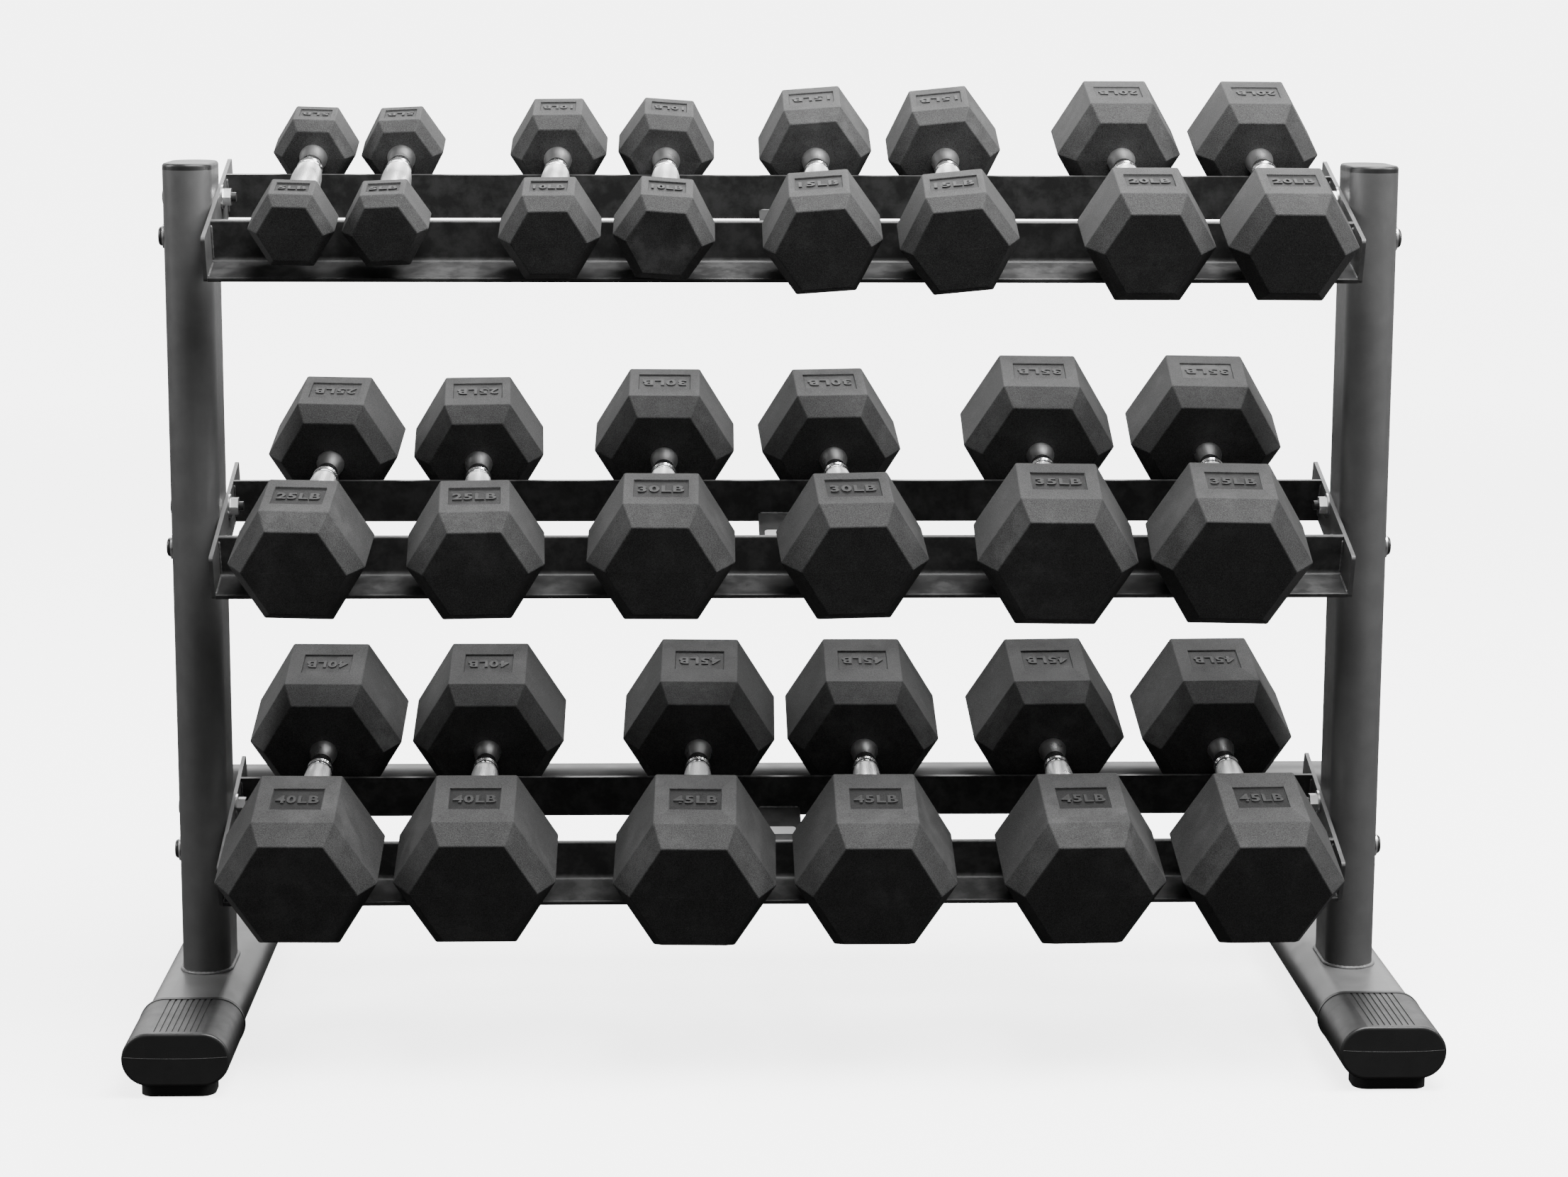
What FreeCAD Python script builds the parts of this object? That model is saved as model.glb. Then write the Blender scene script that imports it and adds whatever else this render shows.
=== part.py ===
import FreeCAD, Part
import math
import os

from FreeCAD import Placement, Rotation, Vector

# Three-tier dumbbell rack with its rubber-headed hex dumbbells.
# Millimetres. X runs along the rack, Y from front to back, Z up.
# The origin is on the floor at the middle of the rack's width and depth.

# ---------------------------------------------------------------- side frames
TUBE_LONG = 100.0           # flat-oval tube, long side
TUBE_SHORT = 50.0           # flat-oval tube, short side
TUBE_WALL = 3.0
UPRIGHT_X = 607.0           # centre of each upright
FOOT_CENTRE_Z = 40.0
FOOT_FRONT_LENGTH = 262.0    # ahead of the upright's centre line
FOOT_REAR_LENGTH = 400.0
UPRIGHT_TOP_Z = 905.0
CAP_RIM = 3.5
CAP_DOME = 3.5
CAP_SKIRT = 20.0
CAP_SKIRT_WALL = 2.0
PLUG_GAP = 0.3

# ------------------------------------------------------------------ foot ends
SLEEVE_LONG = 107.5
SLEEVE_SHORT = 54.5
SLEEVE_LENGTH = 124.0
SLEEVE_END_WALL = 4.0
SLEEVE_LIP = 6.0            # length of the thicker rim at the open end
SLEEVE_LIP_GROWTH = 1.0     # how much larger the rim is across
GROOVE_COUNT = 8
GROOVE_PITCH = 6.0
GROOVE_WIDTH = 2.0
GROOVE_DEPTH = 0.9
GROOVE_START = 7.0
PAD_WIDTH = 74.0
PAD_LENGTH = 44.0
PAD_SETBACK = 8.0
PAD_CORNER = 14.0

# ------------------------------------------------------------- rear cross bar
CROSSBAR_RADIUS = 25.0
CROSSBAR_WALL = 3.0
CROSSBAR_Y = 205.0
CROSSBAR_Z = 208.0
CROSSBAR_HALF_LENGTH = 660.0
BRACKET_X = 636.0
BRACKET_THICKNESS = 10.0
BRACKET_FOOT_Y = (72.0, 132.0)
BRACKET_TOP_HALF = 17.0
BRACKET_SINK = 5.0          # reaches down onto the foot's rounded shoulder

# -------------------------------------------------------------------- shelves
SHELF_TILT = 17.2           # degrees, front edge lower
SHELF_FRONT_Y = -120.0      # front top corner of every shelf
TIER_HEIGHTS = {"bottom": 198.0, "middle": 520.0, "top": 842.0}
PLATE_THICKNESS = 4.0
PLATE_LENGTH = 234.0
SHELF_DEPTH = 47.5          # height of the end plates and the angle legs
ANGLE_THICKNESS = 4.5
ANGLE_FLANGE = 50.0
FRONT_ANGLE_START = 2.0     # setback of the front flange from the plate's end
REAR_ANGLE_START = 182.5
ANGLE_ROOT_RADIUS = 5.0
ANGLE_TOE_RADIUS = 1.6
STRAP_WIDTH = 46.0
STRAP_THICKNESS = 5.0
LABEL_WIDTH = 34.0
LABEL_LENGTH = 15.0
LABEL_THICKNESS = 0.3
LABEL_START = 126.5

# ------------------------------------------------------------------ fasteners
BOLT_RADIUS = 5.0
BOLT_HOLE_RADIUS = 5.5
BOLT_HEAD_RADIUS = 10.0
BOLT_HEAD_HEIGHT = 4.3
BOLT_OFFSET_Y = 17.0        # each side of the upright's centre line
BOLT_DROP = -5.0            # height of the front bolt from the shelf corner
BOLT_RISE = 33.0            # height of the rear bolt from the shelf corner
WASHER_RADIUS = 12.5
WASHER_THICKNESS = 2.0
NUT_ACROSS_FLATS = 17.0
NUT_HEIGHT = 8.0
THREAD_STICK_OUT = 5.0

# ------------------------------------------------------------------ dumbbells
# pounds: across flats, head length, chamfer inset, chamfer depth,
#         number recess width, number recess length, gap between heads
HEADS = {
    5: (75.0, 66.0, 9.0, 12.0, 33.0, 24.0, 156.0),
    10: (88.0, 84.0, 11.0, 16.0, 37.0, 30.0, 156.0),
    15: (103.0, 101.0, 10.0, 17.0, 47.0, 36.0, 156.0),
    20: (113.0, 113.0, 15.0, 20.0, 49.0, 34.0, 156.0),
    25: (119.5, 111.0, 14.0, 19.0, 52.0, 39.0, 150.0),
    30: (129.0, 115.0, 16.0, 22.0, 55.0, 41.0, 150.0),
    35: (139.5, 127.0, 16.0, 22.0, 55.0, 40.0, 150.0),
    40: (141.5, 137.0, 15.0, 22.5, 55.0, 40.0, 150.0),
    45: (142.5, 146.0, 15.0, 24.5, 55.0, 40.0, 150.0),
}
# tier: (pounds, letter, side position, yaw, roll, position up the slope)
LOADING = {
    "top": [
        (5, "a", -489.0, 0.6, -1.4, 119.0),
        (5, "b", -397.0, 0.3, 3.0, 119.0),
        (10, "a", -234.0, 0.4, 0.8, 114.5),
        (10, "b", -121.0, 0.4, -4.0, 114.0),
        (15, "a", 35.5, 0.4, 4.7, 114.0),
        (15, "b", 171.0, 0.6, 6.2, 114.0),
        (20, "a", 357.0, 0.0, 0.0, 115.0),
        (20, "b", 501.5, 0.8, 0.0, 115.0),
    ],
    "middle": [
        (25, "a", -479.5, 2.9, 0.0, 116.0),
        (25, "b", -316.5, -2.2, 0.0, 115.0),
        (30, "a", -124.0, 0.6, 0.0, 114.5),
        (30, "b", 60.0, -2.8, 0.0, 115.5),
        (35, "a", 274.5, 1.5, 0.0, 115.0),
        (35, "b", 452.0, 2.5, 0.0, 115.5),
    ],
    "bottom": [
        (40, "a", -489.5, 0.8, 0.0, 115.0),
        (40, "b", -313.5, 0.0, 0.0, 115.0),
        (45, "a", -88.5, 1.2, 0.0, 115.0),
        (45, "b", 91.0, 0.2, 0.0, 115.0),
        (45, "c", 296.5, -1.5, 0.0, 115.0),
        (45, "d", 478.5, -1.1, 0.0, 115.0),
    ],
}
HANDLE_HUNG_UP_TO = 15      # pounds; these are carried by the handle
HANDLE_HUNG_HEIGHT = 13.6   # axis above the legs' top edges
HEAD_CLEARANCE = 0.3        # heavier heads stand this far off the flange
STUB_RADIUS = 12.0          # bar inside the head
STUB_GAP = 0.1
FLARE_RADIUS = 14.0
FLARE_MIDDLE = (12.7, 8.0)  # radius, distance from the head
NECK_RADIUS = 10.2
NECK_START = 22.0
RING_START = 32.0
RING_RADIUS = 13.4
RING_LENGTH = 5.0
RING_GROOVE = 3.0
RING_GROOVE_RADIUS = 12.4
GRIP_END_RADIUS = 13.4
GRIP_MIDDLE_RADIUS = 15.6
CORE_ACROSS = 0.78          # iron core, as a part of the head across flats
RUBBER_DENSITY = 1.2e-6     # kg per cubic millimetre
IRON_DENSITY = 7.85e-6
POUND = 0.45359
CORE_LONGEST = 0.84         # of the head's length
RECESS_DEPTH = 1.2

SIDES = {"left": -1.0, "right": 1.0}
SIN_TILT = math.sin(math.radians(SHELF_TILT))
COS_TILT = math.cos(math.radians(SHELF_TILT))


def save(name, solids):
    # everything is built about the uprights, then moved so that the origin is at mid depth
    shape = solids[0] if len(solids) == 1 else Part.makeCompound(solids)
    shape.translate(Vector(0, (FOOT_FRONT_LENGTH - FOOT_REAR_LENGTH) / 2, 0))
    shape.exportStep(os.path.join("parts", name + ".step"))


def box(low, high):
    size = high - low
    return Part.makeBox(size.x, size.y, size.z, low)


def slot_prism(long_side, short_side, length):
    # stadium section centred on the Z axis, long side along X, rising from Z = 0
    radius = short_side / 2
    flat = (long_side - short_side) / 2
    edges = [
        Part.LineSegment(Vector(-flat, -radius, 0), Vector(flat, -radius, 0)),
        Part.Arc(Vector(flat, -radius, 0), Vector(flat + radius, 0, 0), Vector(flat, radius, 0)),
        Part.LineSegment(Vector(flat, radius, 0), Vector(-flat, radius, 0)),
        Part.Arc(Vector(-flat, radius, 0), Vector(-flat - radius, 0, 0), Vector(-flat, -radius, 0)),
    ]
    wire = Part.Wire([edge.toShape() for edge in edges])
    return Part.Face(wire).extrude(Vector(0, 0, length))


def slot_tube(long_side, short_side, wall, length):
    outer = slot_prism(long_side, short_side, length)
    inner = slot_prism(long_side - 2 * wall, short_side - 2 * wall, length)
    return outer.cut(inner)


def rod(start, direction, radius, length):
    return Part.makeCylinder(radius, length, start, direction)


def turned(shape, placement):
    moved = shape.copy()
    moved.Placement = placement.multiply(moved.Placement)
    return moved


def shelf_placement(tier):
    # the shelf's own frame: X along the rack, Y up the slope, Z away from the shelf
    corner = Vector(0, SHELF_FRONT_Y, TIER_HEIGHTS[tier])
    return Placement(corner, Rotation(Vector(1, 0, 0), SHELF_TILT))


# ----------------------------------------------------------------- side frame
def bolt_places():
    places = []
    for height in TIER_HEIGHTS.values():
        places.append((-BOLT_OFFSET_Y, height + BOLT_DROP))
        places.append((BOLT_OFFSET_Y, height + BOLT_RISE))
    return places


def bolt_hole(y, z):
    return rod(Vector(-UPRIGHT_X - TUBE_SHORT, y, z), Vector(1, 0, 0), BOLT_HOLE_RADIUS,
               2 * UPRIGHT_X + 2 * TUBE_SHORT)


def upright(side):
    bottom = FOOT_CENTRE_Z + TUBE_SHORT / 2
    tube = slot_tube(TUBE_LONG, TUBE_SHORT, TUBE_WALL, UPRIGHT_TOP_Z - bottom)
    place = Placement(Vector(side * UPRIGHT_X, 0, bottom), Rotation(Vector(0, 0, 1), 90))
    tube = turned(tube, place)
    for y, z in bolt_places():
        tube = tube.cut(bolt_hole(y, z))
    return tube


def foot_prism(long_side, short_side, start_y, length):
    prism = slot_prism(long_side, short_side, length)
    return turned(prism, Placement(Vector(0, start_y, 0), Rotation(Vector(1, 0, 0), -90)))


def foot(side):
    whole = FOOT_FRONT_LENGTH + FOOT_REAR_LENGTH
    outer = foot_prism(TUBE_LONG, TUBE_SHORT, -FOOT_FRONT_LENGTH, whole)
    inner = foot_prism(TUBE_LONG - 2 * TUBE_WALL, TUBE_SHORT - 2 * TUBE_WALL,
                       -FOOT_FRONT_LENGTH, whole)
    tube = outer.cut(inner)
    tube.translate(Vector(side * UPRIGHT_X, 0, FOOT_CENTRE_Z))
    return tube


def upright_cap(side):
    rim = slot_prism(TUBE_LONG, TUBE_SHORT, CAP_RIM + CAP_DOME)
    top_edges = [e for e in rim.Edges if e.BoundBox.ZMin > CAP_RIM + CAP_DOME - 0.01]
    rim = rim.makeFillet(CAP_DOME, top_edges)
    long_side = TUBE_LONG - 2 * TUBE_WALL - PLUG_GAP
    short_side = TUBE_SHORT - 2 * TUBE_WALL - PLUG_GAP
    skirt = slot_tube(long_side, short_side, CAP_SKIRT_WALL, CAP_SKIRT)
    skirt.translate(Vector(0, 0, -CAP_SKIRT))
    cap = rim.fuse(skirt)
    place = Placement(Vector(side * UPRIGHT_X, 0, UPRIGHT_TOP_Z), Rotation(Vector(0, 0, 1), 90))
    return turned(cap, place)


def foot_end_cap(side, end):
    # made for the front end, then turned round for the rear one
    front = -FOOT_FRONT_LENGTH - SLEEVE_END_WALL
    body = foot_prism(SLEEVE_LONG, SLEEVE_SHORT, front, SLEEVE_LENGTH)
    face_edges = [e for e in body.Edges if e.BoundBox.YMax < front + 0.01]
    body = body.makeFillet(SLEEVE_END_WALL - 1.0, face_edges)
    lip = foot_prism(SLEEVE_LONG + SLEEVE_LIP_GROWTH, SLEEVE_SHORT + SLEEVE_LIP_GROWTH,
                     front + SLEEVE_LENGTH - SLEEVE_LIP, SLEEVE_LIP)
    inner = foot_prism(TUBE_LONG, TUBE_SHORT, -FOOT_FRONT_LENGTH, SLEEVE_LENGTH)
    cap = body.fuse(lip).cut(inner)
    top = SLEEVE_SHORT / 2
    for index in range(GROOVE_COUNT):
        x = (index - (GROOVE_COUNT - 1) / 2) * GROOVE_PITCH
        low = Vector(x - GROOVE_WIDTH / 2, front + GROOVE_START, top - GROOVE_DEPTH)
        high = Vector(x + GROOVE_WIDTH / 2, front + SLEEVE_LENGTH - SLEEVE_LIP, top + 1.0)
        cap = cap.cut(box(low, high))
    if end > 0:
        cap.rotate(Vector(0, 0, 0), Vector(0, 0, 1), 180)
        cap.translate(Vector(0, FOOT_REAR_LENGTH - FOOT_FRONT_LENGTH, 0))
    cap.translate(Vector(side * UPRIGHT_X, 0, FOOT_CENTRE_Z))
    return cap


def foot_pad(side, end):
    height = FOOT_CENTRE_Z - SLEEVE_SHORT / 2
    front = -FOOT_FRONT_LENGTH - SLEEVE_END_WALL + PAD_SETBACK
    low = Vector(-PAD_WIDTH / 2, front, 0)
    pad = box(low, low + Vector(PAD_WIDTH, PAD_LENGTH, height))
    corners = [e for e in pad.Edges if e.BoundBox.ZLength > height - 0.01]
    pad = pad.makeFillet(PAD_CORNER, corners)
    if end > 0:
        pad.rotate(Vector(0, 0, 0), Vector(0, 0, 1), 180)
        pad.translate(Vector(0, FOOT_REAR_LENGTH - FOOT_FRONT_LENGTH, 0))
    pad.translate(Vector(side * UPRIGHT_X, 0, 0))
    return pad


def rear_crossbar():
    along = Vector(1, 0, 0)
    start = Vector(-CROSSBAR_HALF_LENGTH, CROSSBAR_Y, CROSSBAR_Z)
    length = 2 * CROSSBAR_HALF_LENGTH
    outer = rod(start, along, CROSSBAR_RADIUS, length)
    inner = rod(start + along * CROSSBAR_WALL, along, CROSSBAR_RADIUS - CROSSBAR_WALL,
                length - 2 * CROSSBAR_WALL)
    solids = [outer.cut(inner)]
    for side in SIDES.values():
        solids.append(crossbar_bracket(side).cut(outer))
    return solids


def crossbar_bracket(side):
    # slanted plate welded to the foot tube just ahead of its rear sleeve
    low = FOOT_CENTRE_Z + TUBE_SHORT / 2 - BRACKET_SINK
    inner_x = side * BRACKET_X - BRACKET_THICKNESS / 2
    corners = [
        Vector(inner_x, BRACKET_FOOT_Y[0], low),
        Vector(inner_x, BRACKET_FOOT_Y[1], low),
        Vector(inner_x, CROSSBAR_Y + BRACKET_TOP_HALF, CROSSBAR_Z),
        Vector(inner_x, CROSSBAR_Y - BRACKET_TOP_HALF, CROSSBAR_Z),
    ]
    outline = Part.makePolygon(corners + corners[:1])
    plate = Part.Face(outline).extrude(Vector(BRACKET_THICKNESS, 0, 0))
    tube = foot_prism(TUBE_LONG, TUBE_SHORT, 0.0, FOOT_REAR_LENGTH)
    tube.translate(Vector(side * UPRIGHT_X, 0, FOOT_CENTRE_Z))
    return plate.cut(tube)


# -------------------------------------------------------------------- shelves
def end_plate(tier, side):
    inner_face = UPRIGHT_X - TUBE_SHORT / 2 - PLATE_THICKNESS
    low_x = inner_face if side > 0 else -inner_face - PLATE_THICKNESS
    plate = box(Vector(low_x, 0, -SHELF_DEPTH), Vector(low_x + PLATE_THICKNESS, PLATE_LENGTH, 0))
    corners = [e for e in plate.Edges if e.BoundBox.XLength > PLATE_THICKNESS - 0.01]
    plate = plate.makeFillet(4.0, corners)
    plate = turned(plate, shelf_placement(tier))
    for y, z in bolt_places():
        plate = plate.cut(bolt_hole(y, z))
    return plate


def angle_rail(tier, leg_y, flange_y):
    # an L section: the leg stands up at leg_y, the flange lies from flange_y along the bottom
    half = UPRIGHT_X - TUBE_SHORT / 2 - PLATE_THICKNESS
    flange_top = -SHELF_DEPTH + ANGLE_THICKNESS
    leg = box(Vector(-half, leg_y, -SHELF_DEPTH), Vector(half, leg_y + ANGLE_THICKNESS, 0))
    flange = box(Vector(-half, flange_y, -SHELF_DEPTH),
                 Vector(half, flange_y + ANGLE_FLANGE, flange_top))
    rail = leg.fuse(flange).removeSplitter()
    front_rail = flange_y < leg_y
    root_y = leg_y if front_rail else leg_y + ANGLE_THICKNESS
    toe_y = flange_y if front_rail else flange_y + ANGLE_FLANGE
    root = [e for e in rail.Edges if edge_at(e, root_y, flange_top)]
    rail = rail.makeFillet(ANGLE_ROOT_RADIUS, root)
    toes = [e for e in rail.Edges if edge_at(e, toe_y, flange_top) or edge_at(e, root_y, 0)]
    rail = rail.makeFillet(ANGLE_TOE_RADIUS, toes)
    return turned(rail, shelf_placement(tier))


def edge_at(edge, y, z):
    limits = edge.BoundBox
    return (limits.XLength > 1.0 and abs(limits.YMin - y) < 0.01 and abs(limits.YMax - y) < 0.01
            and abs(limits.ZMin - z) < 0.01 and abs(limits.ZMax - z) < 0.01)


def centre_strap(tier):
    low = Vector(-STRAP_WIDTH / 2, FRONT_ANGLE_START + ANGLE_FLANGE, -SHELF_DEPTH + ANGLE_THICKNESS)
    high = Vector(STRAP_WIDTH / 2, REAR_ANGLE_START, low.z + STRAP_THICKNESS)
    return turned(box(low, high), shelf_placement(tier))


def strap_label(tier):
    top = -SHELF_DEPTH + ANGLE_THICKNESS + STRAP_THICKNESS
    low = Vector(-LABEL_WIDTH / 2, LABEL_START, top)
    label = box(low, low + Vector(LABEL_WIDTH, LABEL_LENGTH, LABEL_THICKNESS))
    corners = [e for e in label.Edges if e.BoundBox.ZLength > LABEL_THICKNESS / 2]
    label = label.makeFillet(LABEL_LENGTH / 4, corners)
    return turned(label, shelf_placement(tier))


# ------------------------------------------------------------------ fasteners
def hexagon(across_flats, place):
    # flat at the top and bottom, in the XZ plane at the given place along Y
    radius = across_flats / 2 / math.cos(math.radians(30))
    points = []
    for step in range(6):
        angle = math.radians(60 * step)
        points.append(Vector(radius * math.cos(angle), place, radius * math.sin(angle)))
    points.append(points[0])
    return Part.makePolygon(points)


def nut(x, y, z, side):
    body = Part.Face(hexagon(NUT_ACROSS_FLATS, 0)).extrude(Vector(0, NUT_HEIGHT, 0))
    body.rotate(Vector(0, 0, 0), Vector(0, 0, 1), 90 * side)
    body.translate(Vector(x, y, z))
    return body.cut(rod(Vector(x - NUT_HEIGHT, y, z), Vector(1, 0, 0), BOLT_RADIUS, 2 * NUT_HEIGHT))


def washer(x, y, z, direction):
    along = Vector(direction, 0, 0)
    ring = rod(Vector(x, y, z), along, WASHER_RADIUS, WASHER_THICKNESS)
    return ring.cut(rod(Vector(x, y, z), along, BOLT_HOLE_RADIUS, WASHER_THICKNESS))


def bolt(y, z, side):
    outer_face = UPRIGHT_X + TUBE_SHORT / 2 + WASHER_THICKNESS
    inner_face = UPRIGHT_X - TUBE_SHORT / 2 - PLATE_THICKNESS - WASHER_THICKNESS - NUT_HEIGHT
    length = outer_face - inner_face + THREAD_STICK_OUT
    shank = rod(Vector(side * outer_face, y, z), Vector(-side, 0, 0), BOLT_RADIUS, length)
    head = rod(Vector(side * outer_face, y, z), Vector(side, 0, 0), BOLT_HEAD_RADIUS,
               BOLT_HEAD_HEIGHT)
    crown_x = outer_face + BOLT_HEAD_HEIGHT
    crown = [e for e in head.Edges if abs(abs(e.BoundBox.Center.x) - crown_x) < 0.01]
    head = head.makeFillet(BOLT_HEAD_HEIGHT - 1.0, [e for e in crown if e.Length > 1.0])
    return shank.fuse(head)


def fasteners():
    bolts = []
    washers = []
    nuts = []
    inner_face = UPRIGHT_X - TUBE_SHORT / 2 - PLATE_THICKNESS
    outer_face = UPRIGHT_X + TUBE_SHORT / 2
    for side in SIDES.values():
        for y, z in bolt_places():
            bolts.append(bolt(y, z, side))
            washers.append(washer(side * outer_face, y, z, side))
            washers.append(washer(side * inner_face, y, z, -side))
            nuts.append(nut(side * (inner_face - WASHER_THICKNESS), y, z, side))
    return bolts, washers, nuts


# ------------------------------------------------------------------ dumbbells
def dumbbell_placement(tier, pounds, x, yaw, roll, up_slope):
    across = HEADS[pounds][0]
    if pounds <= HANDLE_HUNG_UP_TO:
        height = HANDLE_HUNG_HEIGHT
    else:
        height = -SHELF_DEPTH + ANGLE_THICKNESS + HEAD_CLEARANCE + across / 2
    turn = Rotation(Vector(0, 0, 1), -yaw).multiply(Rotation(Vector(0, 1, 0), -roll))
    return shelf_placement(tier).multiply(Placement(Vector(x, up_slope, height), turn))


def core_length(across, length, inset, depth, pounds, bar_mass):
    # the iron core makes up what the rubber and the bar leave of the stated weight
    area = math.sqrt(3) / 2
    whole = area * across ** 2 * (length - depth) + area * (across - 2 * inset) ** 2 * depth
    head_mass = (pounds * POUND - bar_mass) / 2
    volume = (head_mass - RUBBER_DENSITY * whole) / (IRON_DENSITY - RUBBER_DENSITY)
    wanted = volume / (area * (across * CORE_ACROSS) ** 2)
    return min(max(wanted, 0.15 * length), CORE_LONGEST * length)


def head_shape(pounds, near):
    # chamfered hexagonal head reaching outwards along +Y from its near face
    across, length, inset, depth = HEADS[pounds][:4]
    small = across - 2 * inset
    sections = [
        hexagon(small, near),
        hexagon(across, near + depth),
        hexagon(across, near + length - depth),
        hexagon(small, near + length),
    ]
    head = Part.makeLoft(sections, True, True)
    recess_width, recess_length = HEADS[pounds][4:6]
    middle = near + length / 2
    low = Vector(-recess_width / 2, middle - recess_length / 2, across / 2 - RECESS_DEPTH)
    recess = box(low, low + Vector(recess_width, recess_length, 2 * RECESS_DEPTH))
    return head.cut(recess)


def bar_profile(gap, reach):
    # half of the bar's outline from the end inside one head to the middle of the grip
    face = gap / 2
    ring_in = face - RING_START
    groove = ring_in - RING_LENGTH
    second = groove - RING_GROOVE
    grip = second - RING_LENGTH
    middle_radius, middle_way = FLARE_MIDDLE
    points = [
        Vector(0, face + reach, 0),
        Vector(STUB_RADIUS, face + reach, 0),
        Vector(STUB_RADIUS, face, 0),
        Vector(FLARE_RADIUS, face, 0),
    ]
    edges = [Part.LineSegment(a, b) for a, b in zip(points, points[1:])]
    neck = Vector(NECK_RADIUS, face - NECK_START, 0)
    edges.append(Part.Arc(points[-1], Vector(middle_radius, face - middle_way, 0), neck))
    steps = [
        neck,
        Vector(NECK_RADIUS, ring_in, 0),
        Vector(RING_RADIUS, ring_in, 0),
        Vector(RING_RADIUS, groove, 0),
        Vector(RING_GROOVE_RADIUS, groove, 0),
        Vector(RING_GROOVE_RADIUS, second, 0),
        Vector(GRIP_END_RADIUS, second, 0),
        Vector(GRIP_END_RADIUS, grip, 0),
    ]
    edges += [Part.LineSegment(a, b) for a, b in zip(steps, steps[1:])]
    return edges, grip


def handle_bar(gap, reach):
    edges, grip = bar_profile(gap, reach)
    shapes = [edge.toShape() for edge in edges]
    flip = FreeCAD.Matrix()
    flip.scale(1, -1, 1)
    mirrored = [shape.transformGeometry(flip) for shape in shapes]
    bulge = Part.Arc(Vector(GRIP_END_RADIUS, grip, 0), Vector(GRIP_MIDDLE_RADIUS, 0, 0),
                     Vector(GRIP_END_RADIUS, -grip, 0))
    axis = Part.LineSegment(Vector(0, -gap / 2 - reach, 0), Vector(0, gap / 2 + reach, 0))
    loop = Part.__sortEdges__(shapes + mirrored + [bulge.toShape(), axis.toShape()])
    bar = Part.Face(Part.Wire(loop)).revolve(Vector(0, 0, 0), Vector(0, 1, 0), 360)
    return bar


def dumbbell(pounds):
    across, length, inset, depth = HEADS[pounds][:4]
    gap = HEADS[pounds][6]
    near = gap / 2
    reach = length * 0.5
    bar = handle_bar(gap, reach)
    core = core_length(across, length, inset, depth, pounds, bar.Volume * IRON_DENSITY)
    core_start = near + (length - core) / 2
    bore = rod(Vector(0, near, 0), Vector(0, 1, 0), STUB_RADIUS + STUB_GAP, reach)
    heads = []
    cores = []
    for end in (-1.0, 1.0):
        iron = Part.Face(hexagon(across * CORE_ACROSS, core_start)).extrude(Vector(0, core, 0))
        rubber = head_shape(pounds, near).cut(iron).cut(bore)
        iron = iron.cut(bore)
        for shape in (iron, rubber):
            if end < 0:
                shape.rotate(Vector(0, 0, 0), Vector(0, 0, 1), 180)
        heads.append(rubber)
        cores.append(iron)
    return heads, [bar] + cores


def write_dumbbells():
    for tier, items in LOADING.items():
        for pounds, letter, x, yaw, roll, up_slope in items:
            heads, iron = dumbbell(pounds)
            place = dumbbell_placement(tier, pounds, x, yaw, roll, up_slope)
            name = "dumbbell_%dlb_%s_" % (pounds, letter)
            save(name + "heads", [turned(shape, place) for shape in heads])
            save(name + "handle", [turned(shape, place) for shape in iron])


def write_rack():
    for name, side in SIDES.items():
        save(name + "_upright", [upright(side)])
        save(name + "_foot", [foot(side)])
    ends = [(side, end) for side in SIDES.values() for end in (-1, 1)]
    save("upright_caps", [upright_cap(side) for side in SIDES.values()])
    save("foot_end_caps", [foot_end_cap(side, end) for side, end in ends])
    save("foot_pads", [foot_pad(side, end) for side, end in ends])
    save("rear_crossbar", rear_crossbar())
    plates = []
    straps = []
    front_leg = FRONT_ANGLE_START + ANGLE_FLANGE - ANGLE_THICKNESS
    for tier in TIER_HEIGHTS:
        plates += [end_plate(tier, side) for side in SIDES.values()]
        straps.append(centre_strap(tier))
        save(tier + "_front_rail", [angle_rail(tier, front_leg, FRONT_ANGLE_START)])
        save(tier + "_rear_rail", [angle_rail(tier, REAR_ANGLE_START, REAR_ANGLE_START)])
    save("shelf_end_plates", plates)
    save("centre_straps", straps)
    save("strap_labels", [strap_label(tier) for tier in ("bottom", "middle")])
    bolts, washers, nuts = fasteners()
    save("bolts", bolts)
    save("washers", washers)
    save("nuts", nuts)


os.makedirs("parts", exist_ok=True)
write_rack()
write_dumbbells()
print("parts written:", len(os.listdir("parts")))
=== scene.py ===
import math

import bpy
from mathutils import Matrix, Vector


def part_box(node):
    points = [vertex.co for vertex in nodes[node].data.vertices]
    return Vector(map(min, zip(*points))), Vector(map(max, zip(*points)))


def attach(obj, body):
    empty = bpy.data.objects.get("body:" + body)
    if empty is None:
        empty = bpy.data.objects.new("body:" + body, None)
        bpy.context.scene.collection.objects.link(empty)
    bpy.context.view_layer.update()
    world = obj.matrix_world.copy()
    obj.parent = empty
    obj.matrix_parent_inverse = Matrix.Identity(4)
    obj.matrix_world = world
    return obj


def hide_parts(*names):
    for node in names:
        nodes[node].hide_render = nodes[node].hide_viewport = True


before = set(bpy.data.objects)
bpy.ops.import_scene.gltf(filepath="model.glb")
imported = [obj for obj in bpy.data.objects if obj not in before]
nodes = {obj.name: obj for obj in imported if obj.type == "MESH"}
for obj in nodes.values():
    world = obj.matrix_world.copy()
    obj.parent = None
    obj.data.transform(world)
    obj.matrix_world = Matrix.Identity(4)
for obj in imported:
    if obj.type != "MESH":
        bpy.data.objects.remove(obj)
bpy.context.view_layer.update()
mm = 0.001
print("frame loaded:", len(nodes), "nodes")


# small helpers for working by hand in edit mode

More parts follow.
